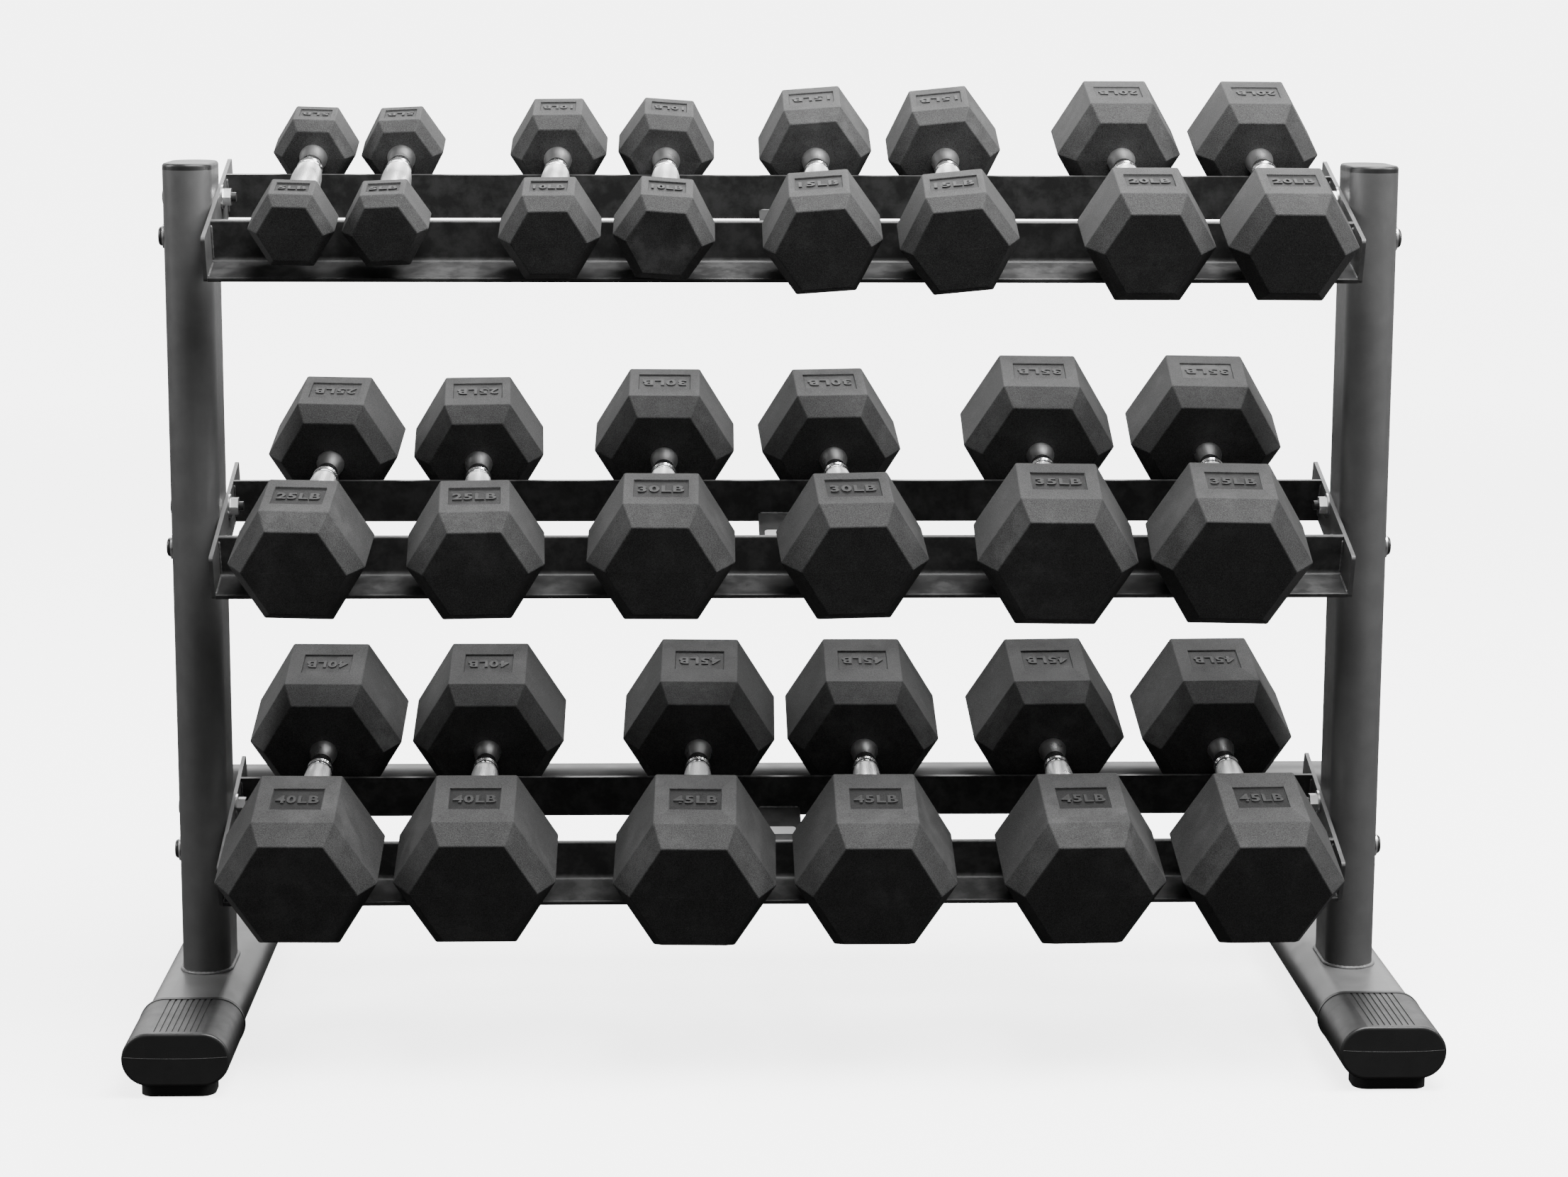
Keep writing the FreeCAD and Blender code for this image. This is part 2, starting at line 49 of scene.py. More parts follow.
def clearSelection():
    active = bpy.context.view_layer.objects.active
    if active is not None and active.mode != "OBJECT":
        bpy.ops.object.mode_set(mode="OBJECT")
    bpy.ops.object.select_all(action="DESELECT")


def makeActive(piece):
    clearSelection()
    piece.select_set(True)
    bpy.context.view_layer.objects.active = piece
    return piece


def pick(piece, test, kind="FACE"):  # leaves the piece in edit mode with only those parts selected
    bpy.ops.object.mode_set(mode="EDIT")
    bpy.ops.mesh.select_mode(type=kind)
    bpy.ops.mesh.select_all(action="DESELECT")
    bpy.ops.object.mode_set(mode="OBJECT")
    mesh = piece.data
    parts = {"FACE": mesh.polygons, "VERT": mesh.vertices, "EDGE": mesh.edges}[kind]
    for part in parts:
        part.select = test(part)
    bpy.ops.object.mode_set(mode="EDIT")


def settle():  # the active piece's place goes into its mesh
    bpy.ops.object.mode_set(mode="OBJECT")
    bpy.ops.object.transform_apply(location=True, rotation=True, scale=True)


def tidyShell(distance=0.00002):
    bpy.ops.object.mode_set(mode="EDIT")
    bpy.ops.mesh.select_all(action="SELECT")
    bpy.ops.mesh.remove_doubles(threshold=distance)
    bpy.ops.mesh.normals_make_consistent(inside=False)
    bpy.ops.object.mode_set(mode="OBJECT")


def copyPiece(piece, name, place):
    twin = piece.copy()
    twin.data = piece.data.copy()
    twin.name = name
    twin.data.name = name
    bpy.context.scene.collection.objects.link(twin)
    twin.data.transform(place)
    return twin


def joinPieces(pieces, name):
    clearSelection()
    for piece in pieces:
        piece.select_set(True)
    bpy.context.view_layer.objects.active = pieces[0]
    bpy.ops.object.join()
    pieces[0].name = name
    pieces[0].data.name = name
    return pieces[0]


def softenNormals(piece, angle=35.0):
    makeActive(piece)
    bpy.ops.object.shade_smooth_by_angle(angle=math.radians(angle))
    weigh = piece.modifiers.new("weigh", "WEIGHTED_NORMAL")
    weigh.keep_sharp = True
    bpy.ops.object.modifier_apply(modifier=weigh.name)


# materials

def newGroup(name, inputs, outputs):
    group = bpy.data.node_groups.new(name, "ShaderNodeTree")
    for label, kind, value in inputs:
        socket = group.interface.new_socket(label, in_out="INPUT", socket_type=kind)
        socket.default_value = value
    for label, kind in outputs:
        group.interface.new_socket(label, in_out="OUTPUT", socket_type=kind)
    return group, group.nodes.new("NodeGroupInput"), group.nodes.new("NodeGroupOutput")


def noise(group, place, scale, detail=2.0, roughness=0.5):
    node = group.nodes.new("ShaderNodeTexNoise")
    node.inputs["Detail"].default_value = detail
    node.inputs["Roughness"].default_value = roughness
    if isinstance(scale, (int, float)):
        node.inputs["Scale"].default_value = scale
    else:
        group.links.new(scale, node.inputs["Scale"])
    group.links.new(place, node.inputs["Vector"])
    return node


def span(group, source, fromLow, fromHigh, toLow, toHigh):  # map range, clamped
    node = group.nodes.new("ShaderNodeMapRange")
    group.links.new(source, node.inputs["Value"])
    limits = (("From Min", fromLow), ("From Max", fromHigh), ("To Min", toLow), ("To Max", toHigh))
    for label, value in limits:
        if isinstance(value, (int, float)):
            node.inputs[label].default_value = value
        else:
            group.links.new(value, node.inputs[label])
    return node.outputs["Result"]


def maths(group, kind, first, second):
    node = group.nodes.new("ShaderNodeMath")
    node.operation = kind
    for index, value in enumerate((first, second)):
        if isinstance(value, (int, float)):
            node.inputs[index].default_value = value
        else:
            group.links.new(value, node.inputs[index])
    return node.outputs[0]


def blendColour(group, amount, first, second):
    node = group.nodes.new("ShaderNodeMix")
    node.data_type = "RGBA"
    sockets = [s for s in node.inputs if s.type == "RGBA"]
    group.links.new(amount, node.inputs["Factor"])
    for socket, value in zip(sockets, (first, second)):
        if isinstance(value, (tuple, list)):
            socket.default_value = value
        else:
            group.links.new(value, socket)
    return [s for s in node.outputs if s.type == "RGBA"][0]


skinDetail = {"smudgeScale": 42.0, "edge": (0.51, 0.60), "smudge": (0.42, 0.62),
              "leastRubbed": 0.25, "patch": (0.46, 0.74), "patchMost": 0.55,
              "speckle": (0.35, 0.7), "speckleMost": 0.5, "roughSmudge": (0.3, 0.7)}


def buildSkinGroup():  # mottled, grained surface with rubbed edges
    group, given, out = newGroup("grainedSkin", [
        ("Base", "NodeSocketColor", (0.05, 0.05, 0.05, 1)),
        ("Worn", "NodeSocketColor", (0.12, 0.12, 0.12, 1)),
        ("Grain Scale", "NodeSocketFloat", 700.0),
        ("Grain Depth", "NodeSocketFloat", 0.0002),
        ("Patch Scale", "NodeSocketFloat", 9.0),
        ("Patches", "NodeSocketFloat", 0.5),
        ("Speckle", "NodeSocketFloat", 0.3),
        ("Wear", "NodeSocketFloat", 0.5),
        ("Roughness Low", "NodeSocketFloat", 0.55),
        ("Roughness High", "NodeSocketFloat", 0.75),
    ], [
        ("Color", "NodeSocketColor"),
        ("Roughness", "NodeSocketFloat"),
        ("Normal", "NodeSocketVector"),
    ])
    coords = group.nodes.new("ShaderNodeTexCoord")
    place = coords.outputs["Object"]
    fine = noise(group, place, given.outputs["Grain Scale"], 3.0, 0.6)
    patch = noise(group, place, given.outputs["Patch Scale"], 4.0, 0.55)
    smudge = noise(group, place, skinDetail["smudgeScale"], 5.0, 0.65)
    shape = group.nodes.new("ShaderNodeNewGeometry")
    edge = span(group, shape.outputs["Pointiness"], *skinDetail["edge"], 0.0, 1.0)
    least = skinDetail["leastRubbed"]
    broken = span(group, smudge.outputs["Fac"], *skinDetail["smudge"], least, 1.0)
    rubbed = maths(group, "MULTIPLY", edge, broken)
    patches = span(group, patch.outputs["Fac"], *skinDetail["patch"], 0.0, skinDetail["patchMost"])
    most = skinDetail["speckleMost"]
    speckle = span(group, fine.outputs["Fac"], *skinDetail["speckle"], 0.0, most)
    dusty = maths(group, "MULTIPLY", patches, broken)
    dusty = maths(group, "MULTIPLY", dusty, given.outputs["Patches"])
    worn = maths(group, "ADD", rubbed, dusty)
    worn = maths(group, "ADD", worn, maths(group, "MULTIPLY", speckle, given.outputs["Speckle"]))
    worn = maths(group, "MULTIPLY", worn, given.outputs["Wear"])
    colour = blendColour(group, worn, given.outputs["Base"], given.outputs["Worn"])
    group.links.new(colour, out.inputs["Color"])
    rough = span(group, smudge.outputs["Fac"], *skinDetail["roughSmudge"],
                 given.outputs["Roughness Low"], given.outputs["Roughness High"])
    group.links.new(rough, out.inputs["Roughness"])
    bump = group.nodes.new("ShaderNodeBump")
    bump.inputs["Strength"].default_value = 1.0
    group.links.new(given.outputs["Grain Depth"], bump.inputs["Distance"])
    group.links.new(fine.outputs["Fac"], bump.inputs["Height"])
    group.links.new(bump.outputs["Normal"], out.inputs["Normal"])
    return group


skinGroup = buildSkinGroup()

# base and worn: grey levels; patches, speckle, wear: how strongly worn shows; rough: low and high;
# grainScale and grainDepth: fineness and height (m) of the bump
finishes = {
    "uprightPaint": {"base": 0.075, "worn": 0.1, "patches": 0.15, "speckle": 0.6, "wear": 0.45,
                     "rough": (0.36, 0.5), "specular": 0.5, "metallic": 0.0,
                     "grainScale": 900, "grainDepth": 0.00006},
    # the rails' own black paint plus painted shade: set well below the upright paint to match the
    # shaded rail faces
    "railPaintAndShade": {"base": 0.018, "worn": 0.1, "patches": 0.05, "speckle": 0.3, "wear": 0.55,
                     "rough": (0.36, 0.5), "specular": 0.35, "metallic": 0.0,
                     "grainScale": 900, "grainDepth": 0.00006},
    "platePaint": {"base": 0.06, "worn": 0.12, "patches": 0.3, "speckle": 0.3, "wear": 0.6,
                     "rough": (0.4, 0.55), "specular": 0.5, "metallic": 0.0,
                     "grainScale": 800, "grainDepth": 0.00007},
    # the feet's own paint plus a painted sheen: paler than the upright paint, standing in for the
    # backdrop reflected on the foot tops
    "footPaintAndSheen": {"base": 0.11, "worn": 0.15, "patches": 0.5, "speckle": 0.6, "wear": 0.5,
                     "rough": (0.3, 0.42), "specular": 0.5, "metallic": 0.0,
                     "grainScale": 800, "grainDepth": 0.00006},
    "capPlastic": {"base": 0.012, "worn": 0.04, "patches": 0.3, "speckle": 0.3, "wear": 0.4,
                     "rough": (0.34, 0.46), "specular": 0.45, "metallic": 0.0,
                     "grainScale": 1200, "grainDepth": 0.00008},
    "padRubber": {"base": 0.014, "worn": 0.04, "patches": 0.5, "speckle": 0.3, "wear": 0.4,
                     "rough": (0.7, 0.85), "specular": 0.35, "metallic": 0.0,
                     "grainScale": 700, "grainDepth": 0.00015},
    "headRubber": {"base": 0.0125, "worn": 0.095, "patches": 0.7, "speckle": 1.4, "wear": 0.75,
                     "rough": (0.62, 0.8), "specular": 0.22, "metallic": 0.0,
                     "grainScale": 1000, "grainDepth": 0.00035},
    "blackSteel": {"base": 0.02, "worn": 0.1, "patches": 0.4, "speckle": 0.3, "wear": 0.8,
                     "rough": (0.3, 0.45), "specular": 0.5, "metallic": 0.4,
                     "grainScale": 900, "grainDepth": 0.00005},
    "zincSteel": {"base": 0.55, "worn": 0.75, "patches": 0.5, "speckle": 0.3, "wear": 0.6,
                     "rough": (0.24, 0.4), "specular": 0.5, "metallic": 1.0,
                     "grainScale": 600, "grainDepth": 0.00005},
    "chrome": {"base": 0.86, "worn": 0.9, "patches": 0.0, "speckle": 0.0, "wear": 0.3,
                     "rough": (0.12, 0.2), "specular": 0.5, "metallic": 1.0,
                     "grainScale": 300, "grainDepth": 0.00001},
    "satinChrome": {"base": 0.84, "worn": 0.9, "patches": 0.0, "speckle": 0.0, "wear": 0.3,
                     "rough": (0.26, 0.36), "specular": 0.5, "metallic": 1.0,
                     "grainScale": 300, "grainDepth": 0.00001},
    "labelFilm": {"base": 0.9, "worn": 0.75, "patches": 0.4, "speckle": 0.3, "wear": 0.4,
                     "rough": (0.45, 0.6), "specular": 0.5, "metallic": 0.0,
                     "grainScale": 300, "grainDepth": 0.00002},
    "strapPaint": {"base": 0.015, "worn": 0.07, "patches": 0.3, "speckle": 0.3, "wear": 0.6,
                     "rough": (0.4, 0.55), "specular": 0.4, "metallic": 0.0,
                     "grainScale": 800, "grainDepth": 0.00006},
    # painted shade: a darker copy of the head rubber for the front heads' recess floor, where
    # shade falls
    "recessShadedRubber": {"base": 0.007, "worn": 0.04, "patches": 0.4, "speckle": 0.9, "wear": 0.6,
                     "rough": (0.5, 0.65), "specular": 0.12, "metallic": 0.0,
                     "grainScale": 620, "grainDepth": 0.00030},
    # painted shade: a darker copy of the head rubber for the raised letters, which sit in the
    # shaded recess
    "letterShadedRubber": {"base": 0.0115, "worn": 0.055, "patches": 0.3, "speckle": 0.6, "wear": 0.5,
                     "rough": (0.5, 0.65), "specular": 0.2, "metallic": 0.0,
                     "grainScale": 620, "grainDepth": 0.00020},
    "weldMetal": {"base": 0.06, "worn": 0.3, "patches": 0.5, "speckle": 0.3, "wear": 0.7,
                     "rough": (0.3, 0.5), "specular": 0.5, "metallic": 0.1,
                     "grainScale": 500, "grainDepth": 0.00025},
}
materials = {}


def buildFinish(name, finish):
    material = bpy.data.materials.new(name)
    material.use_nodes = True
    tree = material.node_tree
    shader = [n for n in tree.nodes if n.type == "BSDF_PRINCIPLED"][0]
    skin = tree.nodes.new("ShaderNodeGroup")
    skin.node_tree = skinGroup
    skin.inputs["Base"].default_value = (finish["base"],) * 3 + (1,)
    skin.inputs["Worn"].default_value = (finish["worn"],) * 3 + (1,)
    skin.inputs["Grain Scale"].default_value = finish["grainScale"]
    skin.inputs["Grain Depth"].default_value = finish["grainDepth"]
    skin.inputs["Patches"].default_value = finish["patches"]
    skin.inputs["Speckle"].default_value = finish["speckle"]
    skin.inputs["Wear"].default_value = finish["wear"]
    skin.inputs["Roughness Low"].default_value = finish["rough"][0]
    skin.inputs["Roughness High"].default_value = finish["rough"][1]
    tree.links.new(skin.outputs["Color"], shader.inputs["Base Color"])
    tree.links.new(skin.outputs["Roughness"], shader.inputs["Roughness"])
    tree.links.new(skin.outputs["Normal"], shader.inputs["Normal"])
    shader.inputs["Metallic"].default_value = finish["metallic"]
    shader.inputs["Specular IOR Level"].default_value = finish["specular"]
    materials[name] = material


for finishName, finishValues in finishes.items():
    buildFinish(finishName, finishValues)


def coat(piece, *names):
    piece.data.materials.clear()
    for name in names:
        piece.data.materials.append(materials[name])


# the foot paint holds a painted sheen; the rail paint, set below, holds painted shade
cadFinish = {
    "left_upright": "uprightPaint", "right_upright": "uprightPaint",
    "left_foot": "footPaintAndSheen", "right_foot": "footPaintAndSheen",
    "upright_caps": "capPlastic", "foot_end_caps": "capPlastic", "foot_pads": "padRubber",
    "rear_crossbar": "uprightPaint", "shelf_end_plates": "platePaint",
    "centre_straps": "strapPaint", "strap_labels": "labelFilm",
    "bolts": "blackSteel", "washers": "zincSteel", "nuts": "zincSteel",
}
# the rails take the darker paint, their own black paint plus painted shade
for tier in ("top", "middle", "bottom"):
    cadFinish[tier + "_front_rail"] = "railPaintAndShade"
    cadFinish[tier + "_rear_rail"] = "railPaintAndShade"
for nodeName, finishName in cadFinish.items():
    for holder in nodes[nodeName].material_slots:
        holder.material = materials[finishName]
print("materials made:", len(materials))


# dumbbell heads: one for each weight, then copied

# pounds: across flats, length, chamfer inset, chamfer depth, recess width and length, gap (mm)
headSizes = {
    5: (75.0, 66.0, 9.0, 12.0, 33.0, 24.0, 156.0),
    10: (88.0, 84.0, 11.0, 16.0, 37.0, 30.0, 156.0),
    15: (103.0, 101.0, 10.0, 17.0, 47.0, 36.0, 156.0),
    20: (113.0, 113.0, 15.0, 20.0, 49.0, 34.0, 156.0),
    25: (119.5, 111.0, 14.0, 19.0, 52.0, 39.0, 150.0),
    30: (129.0, 115.0, 16.0, 22.0, 55.0, 41.0, 150.0),
    35: (139.5, 127.0, 16.0, 22.0, 55.0, 40.0, 150.0),
    40: (141.5, 137.0, 15.0, 22.5, 52.0, 41.5, 150.0),
    45: (142.5, 146.0, 15.0, 24.5, 53.0, 41.5, 150.0),
}
headDetail = {"edgeRound": 1.2 * mm, "recessDepth": 1.5 * mm, "recessRound": 0.35 * mm,
              "recessTaper": (0.985, 0.98, 1), "seamWidth": 0.5 * mm, "seamProud": 0.12 * mm}
letterDetail = {"high": 1.1 * mm, "wide": 0.84, "tall": 0.36,  # wide and tall: parts of the recess
                "size": 0.03, "spacing": 1.12, "weight": 0.0009, "extrude": 0.001, "curveSteps": 3}


def makeHead(pounds):  # the front head, its outer end towards -Y
    across, length, inset, depth, recessWide, recessLong, gap = [v * mm for v in headSizes[pounds]]
    middle = -(gap + length) / 2
    clearSelection()
    bpy.ops.mesh.primitive_cylinder_add(
        vertices=6, radius=across / 2 / math.cos(math.pi / 6), depth=length - 2 * depth,
        location=(0, middle, 0), rotation=(math.pi / 2, math.pi / 6, 0))
    head = bpy.context.active_object
    settle()
    shrink = (across - 2 * inset) / across
    for end in (-1, 1):
        pick(head, lambda face: face.normal.y * end > 0.9)
        bpy.ops.mesh.extrude_region_move(TRANSFORM_OT_translate={"value": (0, end * depth, 0)})
        bpy.ops.transform.resize(value=(shrink, 1, shrink), center_override=(0, middle, 0))
    bpy.ops.object.mode_set(mode="OBJECT")
    bevel = head.modifiers.new("edges", "BEVEL")
    bevel.width = headDetail["edgeRound"]
    bevel.segments = 3
    bevel.limit_method = "ANGLE"
    bevel.angle_limit = math.radians(20)
    bpy.ops.object.modifier_apply(modifier=bevel.name)
    # the mould's parting seam, a thin ridge round the widest level
    pick(head, lambda face: True)
    bpy.ops.mesh.bisect(plane_co=(0, 0, 0), plane_no=(0, 0, 1))
    bpy.ops.mesh.bevel(offset=headDetail["seamWidth"] / 2, segments=2, affect="EDGES")
    pick(head, lambda vert: abs(vert.co.z) < 0.00001, "VERT")
    bpy.ops.transform.shrink_fatten(value=headDetail["seamProud"])
    # the recess for the number
    top = across / 2
    pick(head, lambda face: face.normal.z > 0.99 and face.center.z > top - 0.0005)
    bpy.ops.mesh.inset(thickness=0.001)
    bpy.ops.object.mode_set(mode="OBJECT")
    chosen = [v.co.copy() for v in head.data.vertices if v.select]
    wide = max(v.x for v in chosen) - min(v.x for v in chosen)
    long = max(v.y for v in chosen) - min(v.y for v in chosen)
    bpy.ops.object.mode_set(mode="EDIT")
    bpy.ops.transform.resize(value=(recessWide / wide, recessLong / long, 1),
                             center_override=(0, middle, 0))
    bpy.ops.mesh.extrude_region_move(
        TRANSFORM_OT_translate={"value": (0, 0, -headDetail["recessDepth"])})
    bpy.ops.transform.resize(value=headDetail["recessTaper"], center_override=(0, middle, 0))
    bpy.ops.object.mode_set(mode="OBJECT")
    floorLevel = top - headDetail["recessDepth"]

    def onRecess(edge):
        ends = [head.data.vertices[i].co for i in edge.vertices]
        inside = all(abs(e.x) < recessWide / 2 + 0.2 * mm
                     and abs(e.y - middle) < recessLong / 2 + 0.2 * mm
                     and e.z > floorLevel - 0.1 * mm for e in ends)
        return inside and (ends[0] - ends[1]).length > 0.1 * mm
    pick(head, onRecess, "EDGE")
    bpy.ops.mesh.bevel(offset=headDetail["recessRound"], segments=2, affect="EDGES")
    # the recess floor takes the darker rubber, which is painted shade in the recess
    coat(head, "headRubber", "recessShadedRubber")
    pick(head, lambda face: abs(face.center.z - floorLevel) < 0.00005 and face.normal.z > 0.9
         and abs(face.center.x) < recessWide / 2)
    head.active_material_index = 1
    bpy.ops.object.material_slot_assign()
    bpy.ops.object.mode_set(mode="OBJECT")
    softenNormals(head)
    letters = makeNumber("%dLB" % pounds, recessWide * letterDetail["wide"],
                         recessLong * letterDetail["tall"])
    letters.data.transform(Matrix.Translation((0, middle, floorLevel)))
    # the letters take the darker rubber, which is painted shade of the recess
    coat(letters, "letterShadedRubber")
    return joinPieces([head, letters], "head%dlb" % pounds)


def makeNumber(words, wide, tall):  # raised block letters, centred, standing on Z = 0
    clearSelection()
    bpy.ops.object.text_add()
    letters = bpy.context.active_object
    letters.data.body = words
    letters.data.size = letterDetail["size"]
    letters.data.space_character = letterDetail["spacing"]
    letters.data.offset = letterDetail["weight"]
    letters.data.extrude = letterDetail["extrude"]
    letters.data.resolution_u = letterDetail["curveSteps"]
    letters.data.align_x = "CENTER"
    bpy.ops.object.convert(target="MESH")
    letters = bpy.context.active_object
    corners = [v.co for v in letters.data.vertices]
    low = Vector([min(c[i] for c in corners) for i in range(3)])
    high = Vector([max(c[i] for c in corners) for i in range(3)])
    size = high - low
    centre = (low + high) / 2
    letters.data.transform(Matrix.Translation((-centre.x, -centre.y, -low.z)))
    scale = Matrix.Diagonal((wide / size.x, tall / size.y, letterDetail["high"] / size.z, 1))
    letters.data.transform(scale)
    makeActive(letters)
    tidyShell()
    softenNormals(letters, 30)
    return letters


# dumbbell handle

handleProfile = [  # distance from the head's face, radius (mm)
    (-2.0, 14.0), (0.0, 14.0), (0.5, 14.5), (1.2, 14.7), (2.0, 14.6), (4.0, 14.3), (7.0, 13.7),
    (10.0, 13.0), (13.0, 12.3), (16.0, 11.6), (19.0, 11.0), (22.0, 10.6), (25.0, 10.35),
    (28.0, 10.2), (31.6, 10.2), (32.0, 10.3), (32.1, 12.6), (32.4, 13.1), (33.0, 13.4),
    (36.6, 13.4), (37.2, 13.1), (37.4, 12.5), (38.0, 12.2), (40.4, 12.2), (41.0, 12.5),
    (41.2, 13.1), (41.8, 13.4), (44.6, 13.4), (45.2, 13.2), (45.5, 12.9), (46.0, 12.9),
]
gripShape = {"endRadius": 13.2, "swell": 2.2, "step": 1.4, "around": 66, "knurl": 0.46,
             "flareEnd": 21.0, "slimNeck": 10.2, "stoutNeck": 11.2}


def makeHandle(gap, name, neck):
    half = gap / 2
    side = []
    for away, radius in handleProfile:
        if 13.0 <= away <= 32.0:
            radius = max(radius, neck)
        side.append((-half + away, radius))
    gripStart = side[-1][0] + 0.3
    count = int(round(-2 * gripStart / gripShape["step"]))
    count += count % 2
    grip = []
    for index in range(count + 1):
        along = gripStart * (1 - 2 * index / count)
        swell = math.cos(along / gripStart * math.pi / 2)
        radius = gripShape["endRadius"] + gripShape["swell"] * swell
        grip.append((along, radius))
    outline = side + grip + [(-along, radius) for along, radius in reversed(side)]
    clearSelection()
    bpy.ops.mesh.primitive_plane_add(size=0.001)
    handle = bpy.context.active_object
    bpy.ops.object.mode_set(mode="EDIT")
    bpy.ops.mesh.select_mode(type="VERT")
    bpy.ops.mesh.select_all(action="SELECT")
    bpy.ops.mesh.merge(type="CENTER")
    here = Vector((outline[0][1] * mm, outline[0][0] * mm, 0))
    bpy.ops.transform.translate(value=here)
    for along, radius in outline[1:]:
        there = Vector((radius * mm, along * mm, 0))
        bpy.ops.mesh.extrude_region_move(TRANSFORM_OT_translate={"value": there - here})
        here = there
    bpy.ops.mesh.select_all(action="SELECT")
    bpy.ops.mesh.spin(steps=gripShape["around"], angle=2 * math.pi,
                      center=(0, 0, 0), axis=(0, 1, 0))
    bpy.ops.object.mode_set(mode="OBJECT")
    tidyShell()
    reach = -gripStart * mm - 0.0004
    turn = 2 * math.pi / gripShape["around"]
    stepLength = -2 * gripStart * mm / count

    def knurlPeak(vert):
        if abs(vert.co.y) > reach:
            return False
        around = round(math.atan2(vert.co.z, vert.co.x) / turn)
        along = round((vert.co.y - gripStart * mm) / stepLength)
        return (around + along) % 2 == 0
    pick(handle, knurlPeak, "VERT")
    bpy.ops.transform.shrink_fatten(value=gripShape["knurl"] * mm)
    coat(handle, "chrome", "satinChrome")
    flareFrom = (half - gripShape["flareEnd"]) * mm
    pick(handle, lambda face: abs(face.center.y) < reach or abs(face.center.y) > flareFrom)
    handle.active_material_index = 1
    bpy.ops.object.material_slot_assign()
    bpy.ops.object.mode_set(mode="OBJECT")
    bpy.ops.object.shade_smooth_by_angle(angle=math.radians(24))
    # each raised point becomes a small four-sided pyramid with flat faces
    pick(handle, lambda face: abs(face.center.y) < reach)
    bpy.ops.mesh.quads_convert_to_tris(quad_method="SHORTEST_DIAGONAL")
    bpy.ops.mesh.faces_shade_flat()
    bpy.ops.object.mode_set(mode="OBJECT")
    handle.name = name
    return handle


# where each dumbbell lies: its yaw and roll in degrees; its centre is its CAD node's

shelfTilt = math.radians(17.2)
lying = {
    "dumbbell_5lb_a": (0.6, -1.4), "dumbbell_5lb_b": (0.3, 3.0),
    "dumbbell_10lb_a": (0.4, 0.8), "dumbbell_10lb_b": (0.4, -4.0),
    "dumbbell_15lb_a": (0.4, 4.7), "dumbbell_15lb_b": (0.6, 6.2),
    "dumbbell_20lb_a": (0.0, 0.0), "dumbbell_20lb_b": (0.8, 0.0),
    "dumbbell_25lb_a": (2.9, 0.0), "dumbbell_25lb_b": (-2.2, 0.0),
    "dumbbell_30lb_a": (0.6, 0.0), "dumbbell_30lb_b": (-2.8, 0.0),
    "dumbbell_35lb_a": (1.5, 0.0), "dumbbell_35lb_b": (2.5, 0.0),
    "dumbbell_40lb_a": (0.8, 0.0), "dumbbell_40lb_b": (0.0, 0.0),
    "dumbbell_45lb_a": (1.2, 0.0), "dumbbell_45lb_b": (0.2, 0.0),
    "dumbbell_45lb_c": (-1.5, 0.0), "dumbbell_45lb_d": (-1.1, 0.0),
}


def dumbbellPlace(name):
    low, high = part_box(name + "_heads")
    centre = (Vector(low) + Vector(high)) / 2
    yaw, roll = [math.radians(v) for v in lying[name]]
    turned = Matrix.Rotation(-yaw, 4, "Z") @ Matrix.Rotation(-roll, 4, "Y")
    return Matrix.Translation(centre) @ Matrix.Rotation(shelfTilt, 4, "X") @ turned


def poundsOf(name):
    return int(name.split("_")[1].replace("lb", ""))


heads = {pounds: makeHead(pounds) for pounds in headSizes}
print("heads modelled:", len(heads))
handles = {}
for pounds in headSizes:
    gap = headSizes[pounds][6]
    key = (gap, pounds == 5)
    if key not in handles:
        neck = gripShape["stoutNeck"] if pounds == 5 else gripShape["slimNeck"]
        handles[key] = makeHandle(gap, "handle", neck)
print("handles modelled:", len(handles))

halfTurn = Matrix.Rotation(math.pi, 4, "Z")
for name in lying:
    pounds = poundsOf(name)
    place = dumbbellPlace(name)
    front = copyPiece(heads[pounds], name + "_front", place)
    rear = copyPiece(heads[pounds], name + "_rear", place @ halfTurn)
    # the light reaches into the rear recess, so its floor is as pale as the head and gets no
    # painted shade
    rear.data.materials[1] = materials["headRubber"]
    pair = joinPieces([front, rear], name + "_rubber_heads")
    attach(pair, name)
    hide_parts(name + "_heads")
    bar = copyPiece(handles[(headSizes[pounds][6], pounds == 5)], name + "_knurled_handle", place)
    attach(bar, name)
    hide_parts(name + "_handle")
for pattern in list(heads.values()) + list(handles.values()):
    bpy.data.objects.remove(pattern)
print("dumbbells laid out:", len(lying))


# weld beads on the rack

uprightX = 607 * mm
uprightY = -69 * mm  # the uprights stand ahead of the middle of the feet
footTop = 65.5 * mm
beadDetail = {"footRadius": 2.4 * mm, "railRadius": 1.2 * mm, "ripple": 0.12, "taper": 0.6,
              "length": 40 * mm, "rings": 22, "legShare": 0.93, "strapShare": 1.05,
              "sink": 0.6 * mm}
footBeadDetail = {"endRadius": 25.6 * mm, "straight": 25 * mm, "cuts": 14}
# heights of the shelves' front corners; the rest is measured along and square to the shelf
shelfDetail = {"heights": {"bottom": 198 * mm, "middle": 520 * mm, "top": 842 * mm},
               "frontY": uprightY - 120 * mm, "plateX": 578 * mm, "legFoot": -42 * mm,
               "flangeTop": -43 * mm, "flangeStarts": (5 * mm, 189 * mm),
               "legFaces": (47.5 * mm, 182.5 * mm, 187 * mm),
               "strapTop": -38 * mm, "strapStart": -21 * mm, "strapEnds": (52 * mm, 182.5 * mm)}


